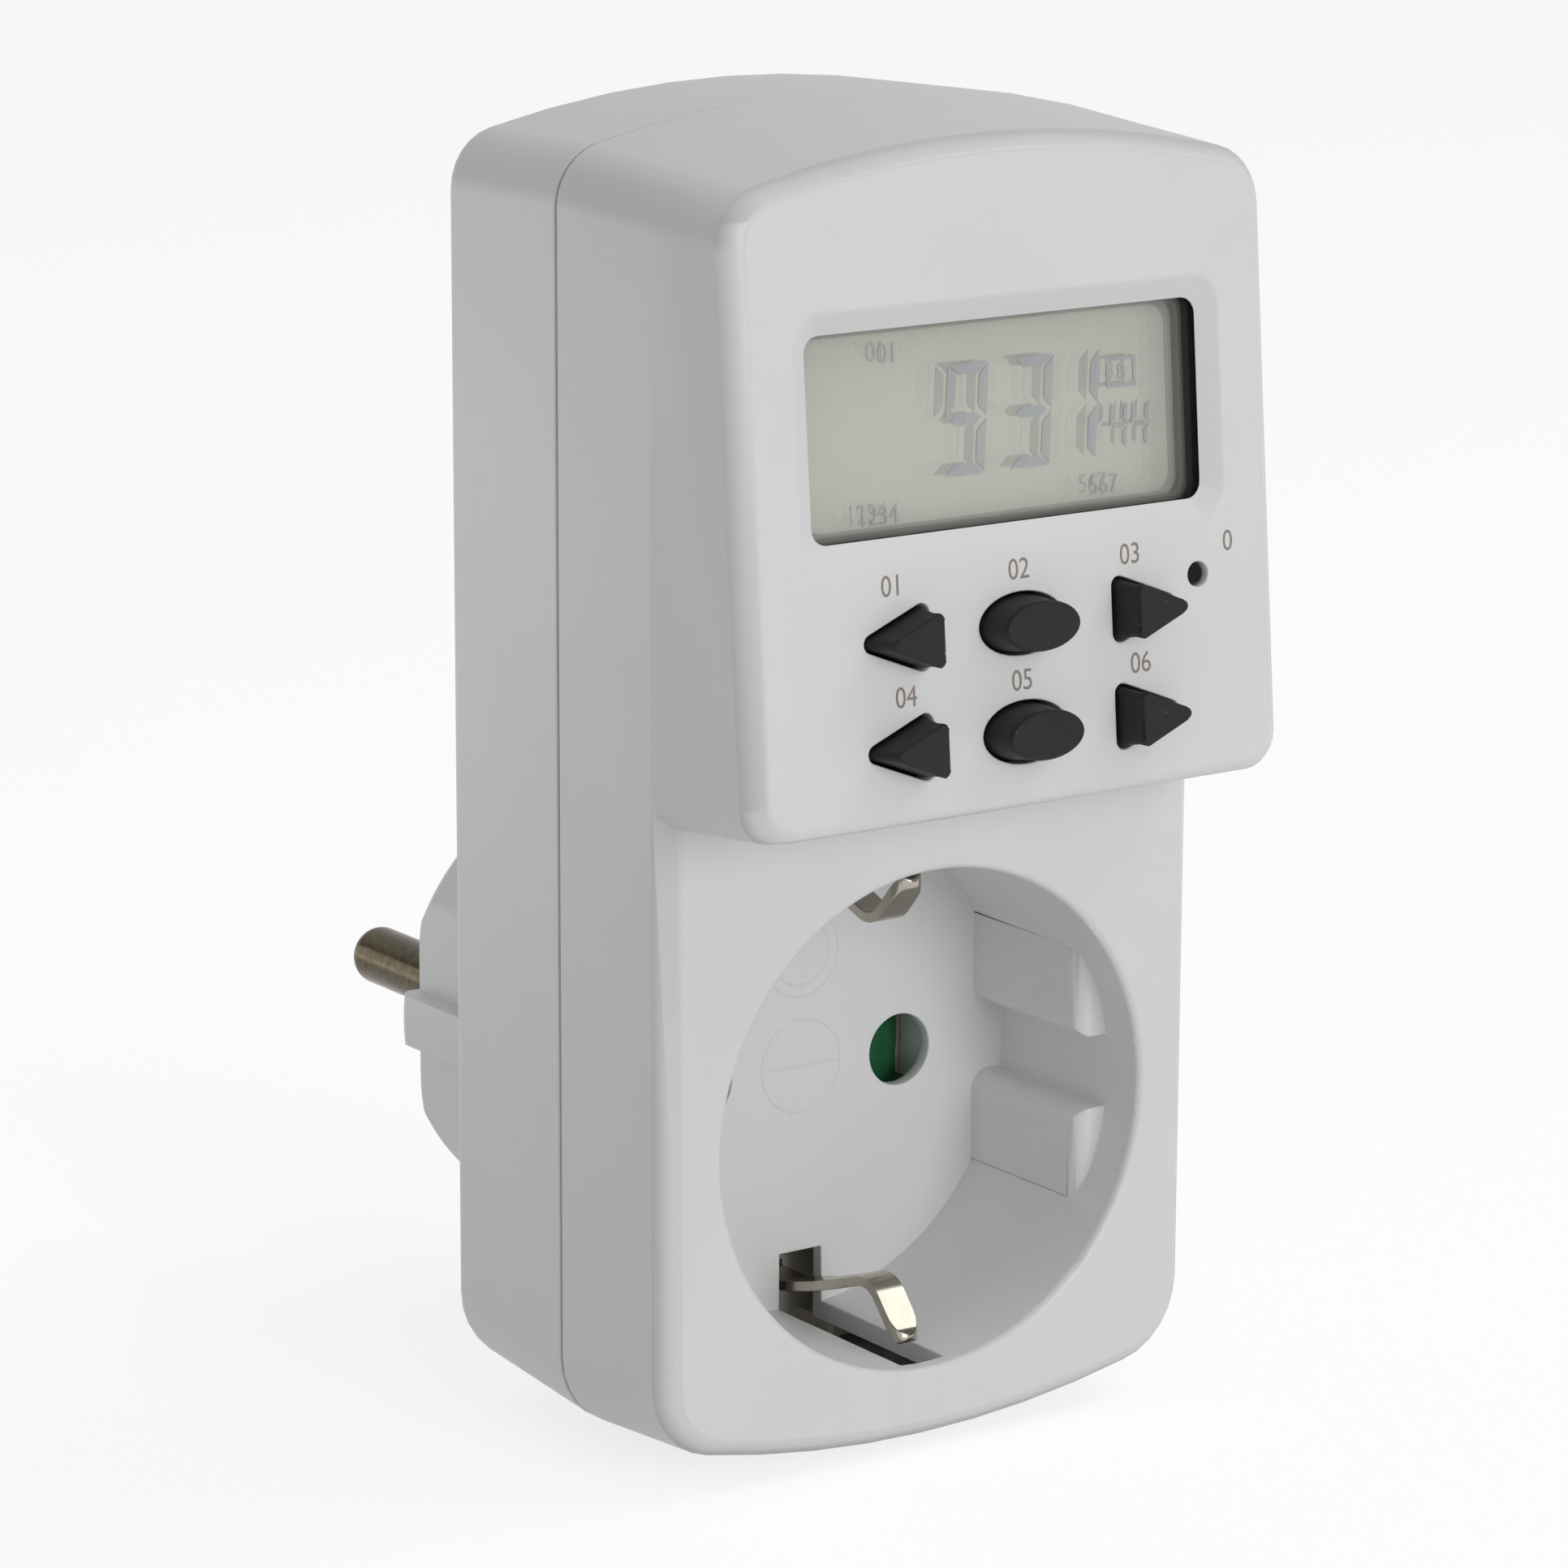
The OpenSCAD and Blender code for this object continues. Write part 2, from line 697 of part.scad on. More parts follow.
// compression spring from the carrier's seat to the shutter's end
module shutter_spring() color("#B9BCC0") {
    turns = 5;
    steps = 14;
    wire = 0.25;
    coil = 1.5;
    start = seat_x + wire;
    rise = -pin_x - hole_r - 0.25 - wire - start;
    loops = [for (i = [0:turns * steps])
        let (a = i * 360 / steps)
        [for (k = [0:5]) let (r = coil + wire * cos(k * 60))
            [start + rise * i / (turns * steps) + wire * sin(k * 60), r * cos(a), r * sin(a)]]];
    translate([0, shutter_y + shutter_t / 2, 0]) skin(loops);
}

// ---- earth parts ----

// middle line of the upper clip as (y, z), from its root to its tip
clip_line = concat(
    [[root_y, ledge], [floor_y + 1, ledge], [floor_y - 0.2, ledge - 0.25],
        [floor_y - 3.5, ledge - 1.15], [floor_y - 6.8, ledge - 2.25]],
    arc(floor_y - 10.15, ledge - 0.9, 2.4, 290, 222, 8, 0),
    [[floor_y - 14, ledge - 0.2], [floor_y - 14.6, ledge + 0.46]]);

function unit(v) = v / norm(v);

function side_of(line, i, g) =
    let (a = line[max(i - 1, 0)])
    let (b = line[min(i + 1, len(line) - 1)])
    let (d = unit(b - a))
    line[i] + g * [-d[1], d[0]];

module clip() {
    half = strap_t / 2;
    last = len(clip_line) - 1;
    intersection() {
        translate([-1.3, 0, 0]) rotate([90, 0, 90]) linear_extrude(2.6) polygon(concat(
            [for (i = [0:last]) side_of(clip_line, i, half)],
            [for (i = [last:-1:0]) side_of(clip_line, i, -half)]));
        translate([0, 0, 10]) linear_extrude(12) union() {
            plate(-2, 2, floor_y - 13.4, root_y + 1);
            translate([0, floor_y - 13.4]) circle(1.3);
        }
    }
}

module earth_clip_upper() color("#C4BFB4") clip();
module earth_clip_lower() color("#C4BFB4") mirror([0, 0, 1]) clip();

// cross bar with a leg along each of the plug's notches and a tab behind each clip
module earth_strap() color("#C4BFB4") {
    slab(strap_y, strap_y + strap_t) plate(-2.5, 2.5, -ledge - 1.5, ledge + 1.5);
    above_and_below() {
        slab(strap_y + 0.5, -2) plate(-2.3, 2.3, 15.3, 16.3);
        slab(strap_y - 0.9, strap_y + 0.1) plate(-1.2, 1.2, ledge + 0.5, ledge + 1.3);
    }
}

// ---- flat conductors ----

// from the right pin's tail, forward over the contact well and up behind the mains board
module live_strap_in() color("#B9713C") {
    x0 = pin_x - 1.9;
    x1 = pin_x + 0.7;
    slab(-7.8, -7) plate(x0, x1, -1.3, 8.9);
    slab(strap_y - 0.3, -7) plate(x0, x1, 8.1, 8.9);
    slab(strap_y - 0.3, strap_y + 0.5) plate(x0, x1, 8.1, 28);
    slab(mains_back, strap_y + 0.5) plate(x0, x1, 27.2, 28);
}

// from the side of the right contact up behind the mains board
module side_strap() {
    x0 = pin_x + tube_out + 0.02;
    x1 = x0 + strap_t;
    slab(carrier_back + 0.6, back_in - 0.8) plate(x0, x1, -2, 23.6);
    slab(mains_back, back_in - 0.8) plate(x0, x1, 23.5, 27.5);
}

module live_strap_out() color("#B9713C") side_strap();
module neutral_strap() color("#B9713C") mirror([1, 0, 0]) side_strap();

// ---- mains board ----

module power_board() color("#2B6B3C") {
    difference() {
        slab(mains_y, mains_back) plate(-21, 21, mains_low, mains_top);
        for (p = mains_pegs) rod(p[0], p[1], mains_y - 0.1, mains_back + 0.1, 1.25);
    }
}

module relay() color("#2E5FA3") {
    slab(mains_y - 15.8, mains_y) plate(-16, -3.2, 33, 62);
}

module dropper_capacitor() color("#C9A227") {
    slab(mains_y - 15, mains_y) plate(-1.5, 7, 43, 61);
}

module smoothing_capacitors() color("#23262B") {
    for (z = [50, 59]) rod(13.5, z, mains_y - 12, mains_y, 4);
}

module varistor() color("#3568B2") {
    translate([-1.5, mains_y - 5.2, 36]) rotate([0, 90, 0]) cylinder(r = 5, h = 4);
    rod(0.5, 34, mains_y - 1, mains_y, 0.4);
    rod(0.5, 38, mains_y - 1, mains_y, 0.4);
}

module rectifier_diodes() color("#2A2A2C") {
    for (x = [5, 8.4, 11.8, 15.2]) {
        translate([x, mains_y - 1.3, 28]) cylinder(r = 1.3, h = 5);
        translate([x, mains_y - 1.3, 26.6]) cylinder(r = 0.4, h = 7.8);
        rod(x, 27, mains_y - 1.3, mains_y, 0.4);
        rod(x, 34, mains_y - 1.3, mains_y, 0.4);
    }
}

module series_resistor() color("#B7A88A") {
    translate([6, mains_y - 2, 39]) rotate([0, 90, 0]) cylinder(r = 2, h = 12);
}

// ribbon between the two boards, with a slight S
module link_ribbon() color("#8A8F96") {
    z = 63.2;
    y0 = panel_y(z - 0.4) + board_back / cos(panel_lean) + 0.1;
    run = mains_y - y0;
    steps = 12;
    line = [for (i = [0:steps]) [y0 + run * i / steps, z + 0.6 * sin(i * 360 / steps)]];
    translate([-4, 0, 0]) rotate([90, 0, 90]) linear_extrude(8) polygon(concat(
        [for (p = line) [p[0], p[1] + 0.4]],
        [for (i = [steps:-1:0]) [line[i][0], line[i][1] - 0.4]]));
}

// ---- screws ----

module housing_screws() color("#A9ACB0") {
    both_sides() for (p = [screw_low, screw_high]) {
        difference() {
            rod(p[0], p[1], screw_seat, screw_seat + 2, 2.7);
            translate([p[0] - 2, screw_seat + 1.1, p[1] - 0.4]) cube([4, 1, 0.8]);
            translate([p[0] - 0.4, screw_seat + 1.1, p[1] - 2]) cube([0.8, 1, 4]);
        }
        rod(p[0], p[1], screw_seat - 14, screw_seat + 0.2, 1.45);
    }
}

module carrier_screws() color("#A9ACB0") {
    both_sides() {
        difference() {
            rod(carrier_screw[0], carrier_screw[1], carrier_back, carrier_back + 1.6, 2.3);
            translate([carrier_screw[0] - 1.7, carrier_back + 0.9, carrier_screw[1] - 0.3])
                cube([3.4, 1, 0.6]);
        }
        rod(carrier_screw[0], carrier_screw[1], carrier_y - 7, carrier_back + 0.2, 1.15);
    }
}

back_cover();
front_housing();
plug_pin_left();
plug_pin_right();
display_window();
display_frame();
display_cell();
key_up();
key_set();
key_down();
key_random();
key_countdown();
key_manual();
earth_clip_upper();
earth_clip_lower();
shutter();
reset_plunger();
shutter_spring();
contact_carrier();
contact_left();
contact_right();
earth_strap();
live_strap_in();
live_strap_out();
neutral_strap();
logic_board();
key_mat();
zebra_strips();
controller_chip();
backup_battery();
reset_switch();
power_board();
relay();
dropper_capacitor();
smoothing_capacitors();
varistor();
rectifier_diodes();
series_resistor();
link_ribbon();
housing_screws();
board_screws();
carrier_screws();
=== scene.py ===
import json
from math import cos, pi, radians, sin

import bmesh
import bpy
from mathutils import Matrix, Vector


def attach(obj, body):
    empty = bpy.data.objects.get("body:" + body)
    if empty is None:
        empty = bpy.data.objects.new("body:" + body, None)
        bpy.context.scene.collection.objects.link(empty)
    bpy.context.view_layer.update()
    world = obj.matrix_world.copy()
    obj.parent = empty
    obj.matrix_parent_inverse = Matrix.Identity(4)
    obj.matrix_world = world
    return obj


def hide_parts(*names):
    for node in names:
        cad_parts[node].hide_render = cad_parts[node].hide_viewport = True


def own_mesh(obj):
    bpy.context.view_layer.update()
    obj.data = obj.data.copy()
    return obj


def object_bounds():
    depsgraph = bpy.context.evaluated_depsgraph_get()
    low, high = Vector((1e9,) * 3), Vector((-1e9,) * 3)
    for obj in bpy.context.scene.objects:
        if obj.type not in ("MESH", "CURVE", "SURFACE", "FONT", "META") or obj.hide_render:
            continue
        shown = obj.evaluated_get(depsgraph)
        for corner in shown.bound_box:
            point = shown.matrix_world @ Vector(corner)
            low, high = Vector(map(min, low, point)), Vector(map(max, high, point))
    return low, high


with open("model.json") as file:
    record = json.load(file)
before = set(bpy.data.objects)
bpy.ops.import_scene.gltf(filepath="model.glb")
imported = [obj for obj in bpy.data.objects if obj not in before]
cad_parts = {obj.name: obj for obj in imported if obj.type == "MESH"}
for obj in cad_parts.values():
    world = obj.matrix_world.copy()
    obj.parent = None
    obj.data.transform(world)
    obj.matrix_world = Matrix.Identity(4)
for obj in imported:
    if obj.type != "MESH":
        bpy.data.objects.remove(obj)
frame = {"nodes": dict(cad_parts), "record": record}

CAD_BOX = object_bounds()
MM = 0.001
SCENE = bpy.context.scene
BODY = {node: body for body, nodes in frame["record"]["behaviour"]["bodies"].items() for node in nodes}
SLOT = {part["node"]: part["material_slot"] for part in frame["record"]["subparts"]}


# ---------------------------------------------------------------- camera

CAMERA_PLACE = (-259.71, -399.63, 129.71)
AZIMUTH, ELEVATION, ROLL = radians(-34.939), radians(13.317), radians(0.206)
LENS_MM, SENSOR_MM = 137.5, 36


def place_camera():
    """A long lens from the left and a little above, with the whole plug-in timer in view."""
    back = Vector((sin(AZIMUTH) * cos(ELEVATION), -cos(AZIMUTH) * cos(ELEVATION), sin(ELEVATION)))
    level = Vector((cos(AZIMUTH), sin(AZIMUTH), 0))
    upright = back.cross(level)
    across = level * cos(ROLL) + upright * sin(ROLL)
    upward = upright * cos(ROLL) - level * sin(ROLL)
    lens = bpy.data.cameras.new("camera")
    lens.lens = LENS_MM
    lens.sensor_width = SENSOR_MM
    lens.clip_start = 0.01
    lens.clip_end = 20
    camera = bpy.data.objects.new("camera", lens)
    turn = Matrix((across, upward, back)).transposed().to_4x4()
    camera.matrix_world = Matrix.Translation(Vector(CAMERA_PLACE) * MM) @ turn
    SCENE.collection.objects.link(camera)
    SCENE.camera = camera


# ------------------------------------------------------------- materials

def linear(code):
    """An sRGB hex colour as the linear colour that a shader takes."""
    parts = [int(code[i:i + 2], 16) / 255 for i in (1, 3, 5)]
    return tuple(v / 12.92 if v <= 0.04045 else ((v + 0.055) / 1.055) ** 2.4 for v in parts) + (1,)


def add(owner, kind, settings=None, links=None):
    """Adds one shader node to a material or a world.

    Settings go to its sockets (a number or a capital first letter), its colour stops or its own fields.
    A link comes from a socket, or from the first output of a node.
    """
    node = owner.node_tree.nodes.new("ShaderNode" + kind)
    for name, value in (settings or {}).items():
        if name == "stops":
            for stop, (position, colour) in zip(node.color_ramp.elements, value):
                stop.position = position
                stop.color = linear(colour)
        elif isinstance(name, int) or name[0].isupper():
            node.inputs[name].default_value = value
        else:
            setattr(node, name, value)
    for name, source in (links or {}).items():
        owner.node_tree.links.new(getattr(source, "outputs", (source,))[0], node.inputs[name])
    return node


def start(name):
    """An empty node material and the Object coordinates that its patterns read."""
    material = bpy.data.materials.new(name)
    material.use_nodes = True
    material.node_tree.nodes.clear()
    return material, add(material, "TexCoord").outputs["Object"]


def repeats(size_mm):
    """How often a pattern of that size repeats in a metre."""
    return 1 / (size_mm * MM)


def plastic(name, low, high, rough, grain_mm, depth_mm, ior=1.53, cloud_mm=14.0):
    """A moulded plastic: faint flow clouds in the colour, and the fine grain of the mould as relief."""
    material, place = start(name)
    clouds = add(material, "TexNoise", {"Scale": repeats(cloud_mm), "Detail": 3.0}, {"Vector": place})
    skin = add(material, "TexNoise", {"Scale": repeats(grain_mm), "Detail": 3.0}, {"Vector": place})
    dull = add(material, "MapRange", {"To Min": rough - 0.05, "To Max": rough + 0.05}, {"Value": skin})
    shader = add(material, "BsdfPrincipled", {"IOR": ior}, {
        "Base Color": add(material, "ValToRGB", {"stops": ((0.3, low), (0.7, high))}, {"Fac": clouds}),
        "Roughness": dull,
        "Normal": add(material, "Bump", {"Strength": 1.0, "Distance": depth_mm * MM}, {"Height": skin})})
    add(material, "OutputMaterial", links={"Surface": shader})
    return material


def metal(name, low, high, rough, stroke_mm=(0.15, 6.0, 0.15), depth_mm=0.002, cloud_mm=3.0):
    """A rolled, drawn or plated metal: a faintly clouded tint under fine strokes or an even grain."""
    material, place = start(name)
    along = add(material, "Mapping", {"Scale": tuple(repeats(s) for s in stroke_mm)}, {"Vector": place})
    strokes = add(material, "TexNoise", {"Scale": 1.0, "Detail": 3.0}, {"Vector": along})
    clouds = add(material, "TexNoise", {"Scale": repeats(cloud_mm), "Detail": 3.0}, {"Vector": place})
    dull = add(material, "MapRange", {"To Min": rough - 0.06, "To Max": rough + 0.08}, {"Value": strokes})
    shader = add(material, "BsdfPrincipled", {"Metallic": 1.0}, {
        "Base Color": add(material, "ValToRGB", {"stops": ((0.3, low), (0.7, high))}, {"Fac": clouds}),
        "Roughness": dull,
        "Normal": add(material, "Bump", {"Strength": 1.0, "Distance": depth_mm * MM}, {"Height": strokes})})
    add(material, "OutputMaterial", links={"Surface": shader})
    return material


def film(name, low, high, rough=0.35):
    """A thin laminated or printed layer: an even tint, very slightly mottled."""
    material, place = start(name)
    mottle = add(material, "TexNoise", {"Scale": repeats(0.6), "Detail": 2.0}, {"Vector": place})
    shader = add(material, "BsdfPrincipled", {"IOR": 1.5, "Roughness": rough}, {
        "Base Color": add(material, "ValToRGB", {"stops": ((0.2, low), (0.8, high))}, {"Fac": mottle})})
    add(material, "OutputMaterial", links={"Surface": shader})
    return material


def circuit_board():
    """Glass-epoxy board under green solder mask: glossy, faintly woven, lighter over its copper tracks."""
    material, place = start("glass_epoxy_solder_masked")
    weave = add(material, "TexWave", {
        "wave_type": "BANDS", "bands_direction": "DIAGONAL", "Scale": repeats(2.2), "Distortion": 0.4,
        "Detail": 1.0}, {"Vector": place})
    tracks = add(material, "TexVoronoi", {"feature": "DISTANCE_TO_EDGE", "Scale": repeats(3.2)},
                 {"Vector": place})
    track = add(material, "MapRange", {"From Min": 0.05, "From Max": 0.07, "To Min": 1.0, "To Max": 0.0},
                {"Value": tracks})
    mask = add(material, "ValToRGB", {"stops": ((0.0, "#17502f"), (1.0, "#2a7a48"))}, {"Fac": track})
    threads = add(material, "Bump", {"Strength": 1.0, "Distance": 0.004 * MM},
                  {"Height": weave.outputs["Fac"]})
    shader = add(material, "BsdfPrincipled", {"IOR": 1.55, "Roughness": 0.28},
                 {"Base Color": mask, "Normal": threads})
    add(material, "OutputMaterial", links={"Surface": shader})
    return material


def rubber_with_dust():
    """Compression-moulded silicone rubber: charcoal and matt, with pale grains of dust on its tacky skin."""
    material, place = start("silicone_charcoal_moulded")
    clouds = add(material, "TexNoise", {"Scale": repeats(5.0), "Detail": 3.0}, {"Vector": place})
    skin = add(material, "TexNoise", {"Scale": repeats(0.25), "Detail": 3.0}, {"Vector": place})
    bare = add(material, "ValToRGB", {"stops": ((0.3, "#1f1f20"), (0.7, "#242425"))}, {"Fac": clouds})
    # Dust lies as small dots, and only where a wider noise lets it.
    motes = add(material, "TexVoronoi", {"Scale": repeats(0.75), "Randomness": 1.0}, {"Vector": place})
    mote = add(material, "MapRange", {"From Min": 0.07, "From Max": 0.10, "To Min": 1.0, "To Max": 0.0},
               {"Value": motes})
    drift = add(material, "TexNoise", {"Scale": repeats(1.6), "Detail": 1.0}, {"Vector": place})
    patch = add(material, "MapRange", {"From Min": 0.55, "From Max": 0.7}, {"Value": drift})
    shown = add(material, "Math", {"operation": "MULTIPLY"}, {0: mote, 1: patch})
    colour = add(material, "Mix", {"data_type": "RGBA", "clamp_factor": True, 7: linear("#7a746a")},
                 {0: shown, 6: bare})
    shader = add(material, "BsdfPrincipled", {"IOR": 1.41}, {
        "Base Color": colour.outputs[2],
        "Roughness": add(material, "MapRange", {"To Min": 0.58, "To Max": 0.68}, {"Value": skin}),
        "Normal": add(material, "Bump", {"Strength": 1.0, "Distance": 0.010 * MM}, {"Height": skin})})
    add(material, "OutputMaterial", links={"Surface": shader})
    return material


def clear_window():
    """Moulded clear acrylic: it lets nearly everything through and shows only a faint surface shine."""
    material, place = start("acrylic_clear_moulded")
    ripple = add(material, "TexNoise", {"Scale": repeats(9.0), "Detail": 1.0}, {"Vector": place})
    shader = add(material, "BsdfPrincipled", {
        "Base Color": linear("#f4f6f4"), "IOR": 1.49, "Roughness": 0.03, "Transmission Weight": 1.0,
        "Alpha": 0.15}, {
        "Normal": add(material, "Bump", {"Strength": 1.0, "Distance": 0.01 * MM}, {"Height": ripple})})
    add(material, "OutputMaterial", links={"Surface": shader})
    return material


def floor_sheet():
    """A matt white sheet that goes on to plain white and only darkens under the object."""
    material, place = start("paper_white_matt")
    tooth = add(material, "TexNoise", {"Scale": repeats(1.2), "Detail": 2.0}, {"Vector": place})
    lit = add(material, "BsdfDiffuse", links={
        "Color": add(material, "ValToRGB", {"stops": ((0.3, "#a6a6a6"), (0.7, "#a8a8a8"))}, {"Fac": tooth})})
    glow = add(material, "Emission", {"Color": linear("#ffffff"), "Strength": 0.75})
    seen = add(material, "AddShader", links={0: lit, 1: glow})
    # Light that bounces off the sheet on to the object comes from a plain pale one.
    plain = add(material, "BsdfDiffuse", {"Color": linear("#e2e2e2")})
    path = add(material, "LightPath").outputs
    direct = add(material, "Math", {"operation": "MAXIMUM"},
                 {0: path["Is Camera Ray"], 1: path["Is Glossy Ray"]})
    direct = add(material, "Math", {"operation": "MAXIMUM"}, {0: direct, 1: path["Is Transmission Ray"]})
    sheet = add(material, "MixShader", links={"Fac": direct, 1: plain, 2: seen})
    add(material, "OutputMaterial", links={"Surface": sheet})
    return material


# The housing is injection-moulded white ABS: satin, with soft highlights. Its spark-eroded grain is drawn at
# 0.35 mm, coarser than the real one, so that it just shows.
abs_white = plastic("abs_white_moulded", "#e6e6e6", "#e9e9e9", rough=0.42, grain_mm=0.35, depth_mm=0.004)
# The sheet that the keys stand in is plain grey silicone rubber, and so are the strips under the display.
silicone_grey = plastic("silicone_grey_moulded", "#8a8e92", "#94989c", rough=0.6, grain_mm=0.3,
                        depth_mm=0.006, ior=1.41, cloud_mm=6.0)
# The shutter is moulded PBT, dyed green through, with a duller face than the housing.
pbt_green = plastic("pbt_green_moulded", "#155632", "#1a603a", rough=0.45, grain_mm=0.3, depth_mm=0.004,
                    ior=1.55, cloud_mm=4.0)
# The carrier is glass-filled polyamide: cream, matt, with fibre swirls.
polyamide_cream = plastic("polyamide_cream_moulded", "#cfcabb", "#dcd7c8", rough=0.6, grain_mm=0.5,
                          depth_mm=0.010, cloud_mm=3.0)
# The display frame is black ABS from a matt mould, so it swallows light round the glass. The reset plunger
# is the same.
abs_black = plastic("abs_black_moulded", "#070708", "#0c0c0d", rough=0.7, grain_mm=0.3, depth_mm=0.004,
                    ior=1.36)
# The chip, the diodes and the switch are moulded epoxy with a dull, slightly sandy face. The sleeves of the
# smoothing capacitors are taken as the same.
epoxy_black = plastic("epoxy_black_moulded", "#18191b", "#222325", rough=0.65, grain_mm=0.2,
                      depth_mm=0.008, ior=1.55, cloud_mm=3.0)
# The relay case is moulded blue PBT, glossier than the shutter.
pbt_blue = plastic("pbt_blue_moulded", "#2a5c9c", "#3066a8", rough=0.3, grain_mm=0.4, depth_mm=0.003,
                   ior=1.55, cloud_mm=5.0)
# The film capacitor is a yellow moulded case, smooth and slightly waxy.
pp_yellow = plastic("polypropylene_yellow_moulded", "#c9a320", "#d3af2c", rough=0.35, grain_mm=0.5,
                    depth_mm=0.003, ior=1.49, cloud_mm=5.0)
# The varistor is dipped in blue epoxy, so its skin is glossy and a little uneven.
epoxy_blue = plastic("epoxy_blue_dipped", "#2f63ad", "#3a70ba", rough=0.22, grain_mm=1.6, depth_mm=0.05,
                     ior=1.55, cloud_mm=3.0)
# The resistor body is cement-coated ceramic: tan, chalky.
ceramic_tan = plastic("ceramic_tan_coated", "#b09d78", "#bda985", rough=0.75, grain_mm=0.3,
                      depth_mm=0.012, ior=1.5, cloud_mm=2.0)
# The ribbon's insulation is soft PVC, extruded, so it is smooth and slightly shiny.
pvc_grey = plastic("pvc_grey_extruded", "#85898f", "#8f9399", rough=0.4, grain_mm=0.5, depth_mm=0.003,
                   cloud_mm=4.0)
# The earth clips and strap are nickel-plated brass: bright, with a warm cast where the plating is thin.
nickel_plated_brass = metal("brass_nickel_plated", "#aaa498", "#bdb8ab", rough=0.2)
# On the plug's pins the plating is handled and dulled, with small dark scuffs; its far darker, browner
# colour is painted shade.
nickel_dulled_painted_dark = metal("brass_nickel_plated_dulled_painted_dark", "#463e2f", "#5c523f", rough=0.22,
                      stroke_mm=(0.15, 2.0, 0.15), depth_mm=0.0006, cloud_mm=0.6)
# Socket contacts are rolled brass strip, a little dulled.
brass_rolled = metal("brass_rolled", "#c09a4c", "#cfab60", rough=0.3)
# The straps are cold-rolled copper strip, browned by handling.
copper_rolled = metal("copper_rolled", "#b4714a", "#c4835a", rough=0.32)
# Screws and the spring are zinc-plated steel: grey-blue, softly shiny. The battery's can is taken as the
# same.
steel_zinc_plated = metal("steel_zinc_plated", "#a2a6ab", "#b4b8bd", rough=0.28, stroke_mm=(0.2, 0.2, 0.2))

# The material of each slot of the record.
FINISH = {
    "white_shell": abs_white, "nickel": nickel_plated_brass, "brass": brass_rolled,
    "copper_strip": copper_rolled, "steel": steel_zinc_plated, "clear": clear_window(),
    "black_plastic": abs_black, "lcd_glass": film("polariser_film_laminated", "#c3c4b9", "#c9cabf"),
    "key_rubber": rubber_with_dust(), "mat_rubber": silicone_grey, "green_plastic": pbt_green,
    "cream_plastic": polyamide_cream, "board_green": circuit_board(), "dark_epoxy": epoxy_black,
    "relay_blue": pbt_blue, "cap_yellow": pp_yellow, "varistor_blue": epoxy_blue,
    "resistor_tan": ceramic_tan, "ribbon_grey": pvc_grey,
}


# ---------------------------------------------------------------- studio

# Half the floor's width, and how far it lies under the object, in metres.
FLOOR_HALF, FLOOR_DROP = 6.0, 0.0002
# How bright the room's walls and ceiling are as they light the object. The room's tint then darkens them.
WALLS, CEILING = 0.515, 0.5
# How bright shiny parts see the room on the user's side and far to the left.
ROOM_BEFORE, ROOM_LEFT = 0.2, 0.06
# Seen directly, the room is white.
ROOM_SEEN = 1.27
ROOM_TINT = (0.788, 0.798, 0.808, 1)
# Each lamp's place and the width of its disc, in metres, and its power in watts.
LAMPS = (("front_lamp", (0.1, -1.2, 0.27), 0.7, 4.65),
         ("upper_lamp", (0.62, -0.35, 0.86), 0.5, 1.6),
         ("rear_lamp", (-0.12, 0.16, 0.005), 0.12, 0.052))
LAMP_TINT = (1.0, 0.997, 0.989)
LAMP_AIM = (0, -0.03, 0.025)


def as_object(name, mesh, material):
    """Turns a bmesh into an object with one material."""
    data = bpy.data.meshes.new(name)
    mesh.to_mesh(data)
    mesh.free()
    data.materials.append(material)
    piece = bpy.data.objects.new(name, data)
    SCENE.collection.objects.link(piece)
    return piece


def lay_floor():
    """A wide pale floor just under the object."""
    sheet = bmesh.new()
    bmesh.ops.create_grid(sheet, x_segments=1, y_segments=1, size=FLOOR_HALF)
    bmesh.ops.translate(sheet, vec=(0, 0, CAD_BOX[0][2] - FLOOR_DROP), verts=sheet.verts)
    floor = as_object("floor", sheet, floor_sheet())


def make_room():
    """A white room, as the world."""
    world = bpy.data.worlds.new("room")
    world.use_nodes = True
    world.node_tree.nodes.clear()
    SCENE.world = world
    way = add(world, "SeparateXYZ", links={0: add(world, "TexCoord").outputs["Generated"]}).outputs
    # The ceiling gives a little less light than the walls.
    cast = add(world, "MapRange", {"From Min": 0.0, "From Max": 1.0, "To Min": WALLS, "To Max": CEILING},
               {"Value": way["Z"]})
    # Shiny parts mirror a white wall behind the object, and a darker room before it and far to the left.
    ahead = add(world, "MapRange", {"From Min": -0.5, "From Max": 0.4, "To Min": ROOM_BEFORE, "To Max": 1.0},
                {"Value": way["Y"]})
    aside = add(world, "MapRange", {"From Min": -0.6, "From Max": -0.3, "To Min": ROOM_LEFT, "To Max": 1.0},
                {"Value": way["X"]})
    mirrored = add(world, "Math", {"operation": "MULTIPLY"}, {0: ahead, 1: aside})
    path = add(world, "LightPath").outputs
    level = add(world, "Mix", {"data_type": "FLOAT"}, {0: path["Is Glossy Ray"], 2: cast, 3: mirrored})
    seen = add(world, "Math", {"operation": "MAXIMUM"},
               {0: path["Is Camera Ray"], 1: path["Is Transmission Ray"]})
    level = add(world, "Mix", {"data_type": "FLOAT", 3: ROOM_SEEN}, {0: seen, 2: level})
    room = add(world, "Background", {"Color": ROOM_TINT}, {"Strength": level})
    add(world, "OutputWorld", links={"Surface": room})


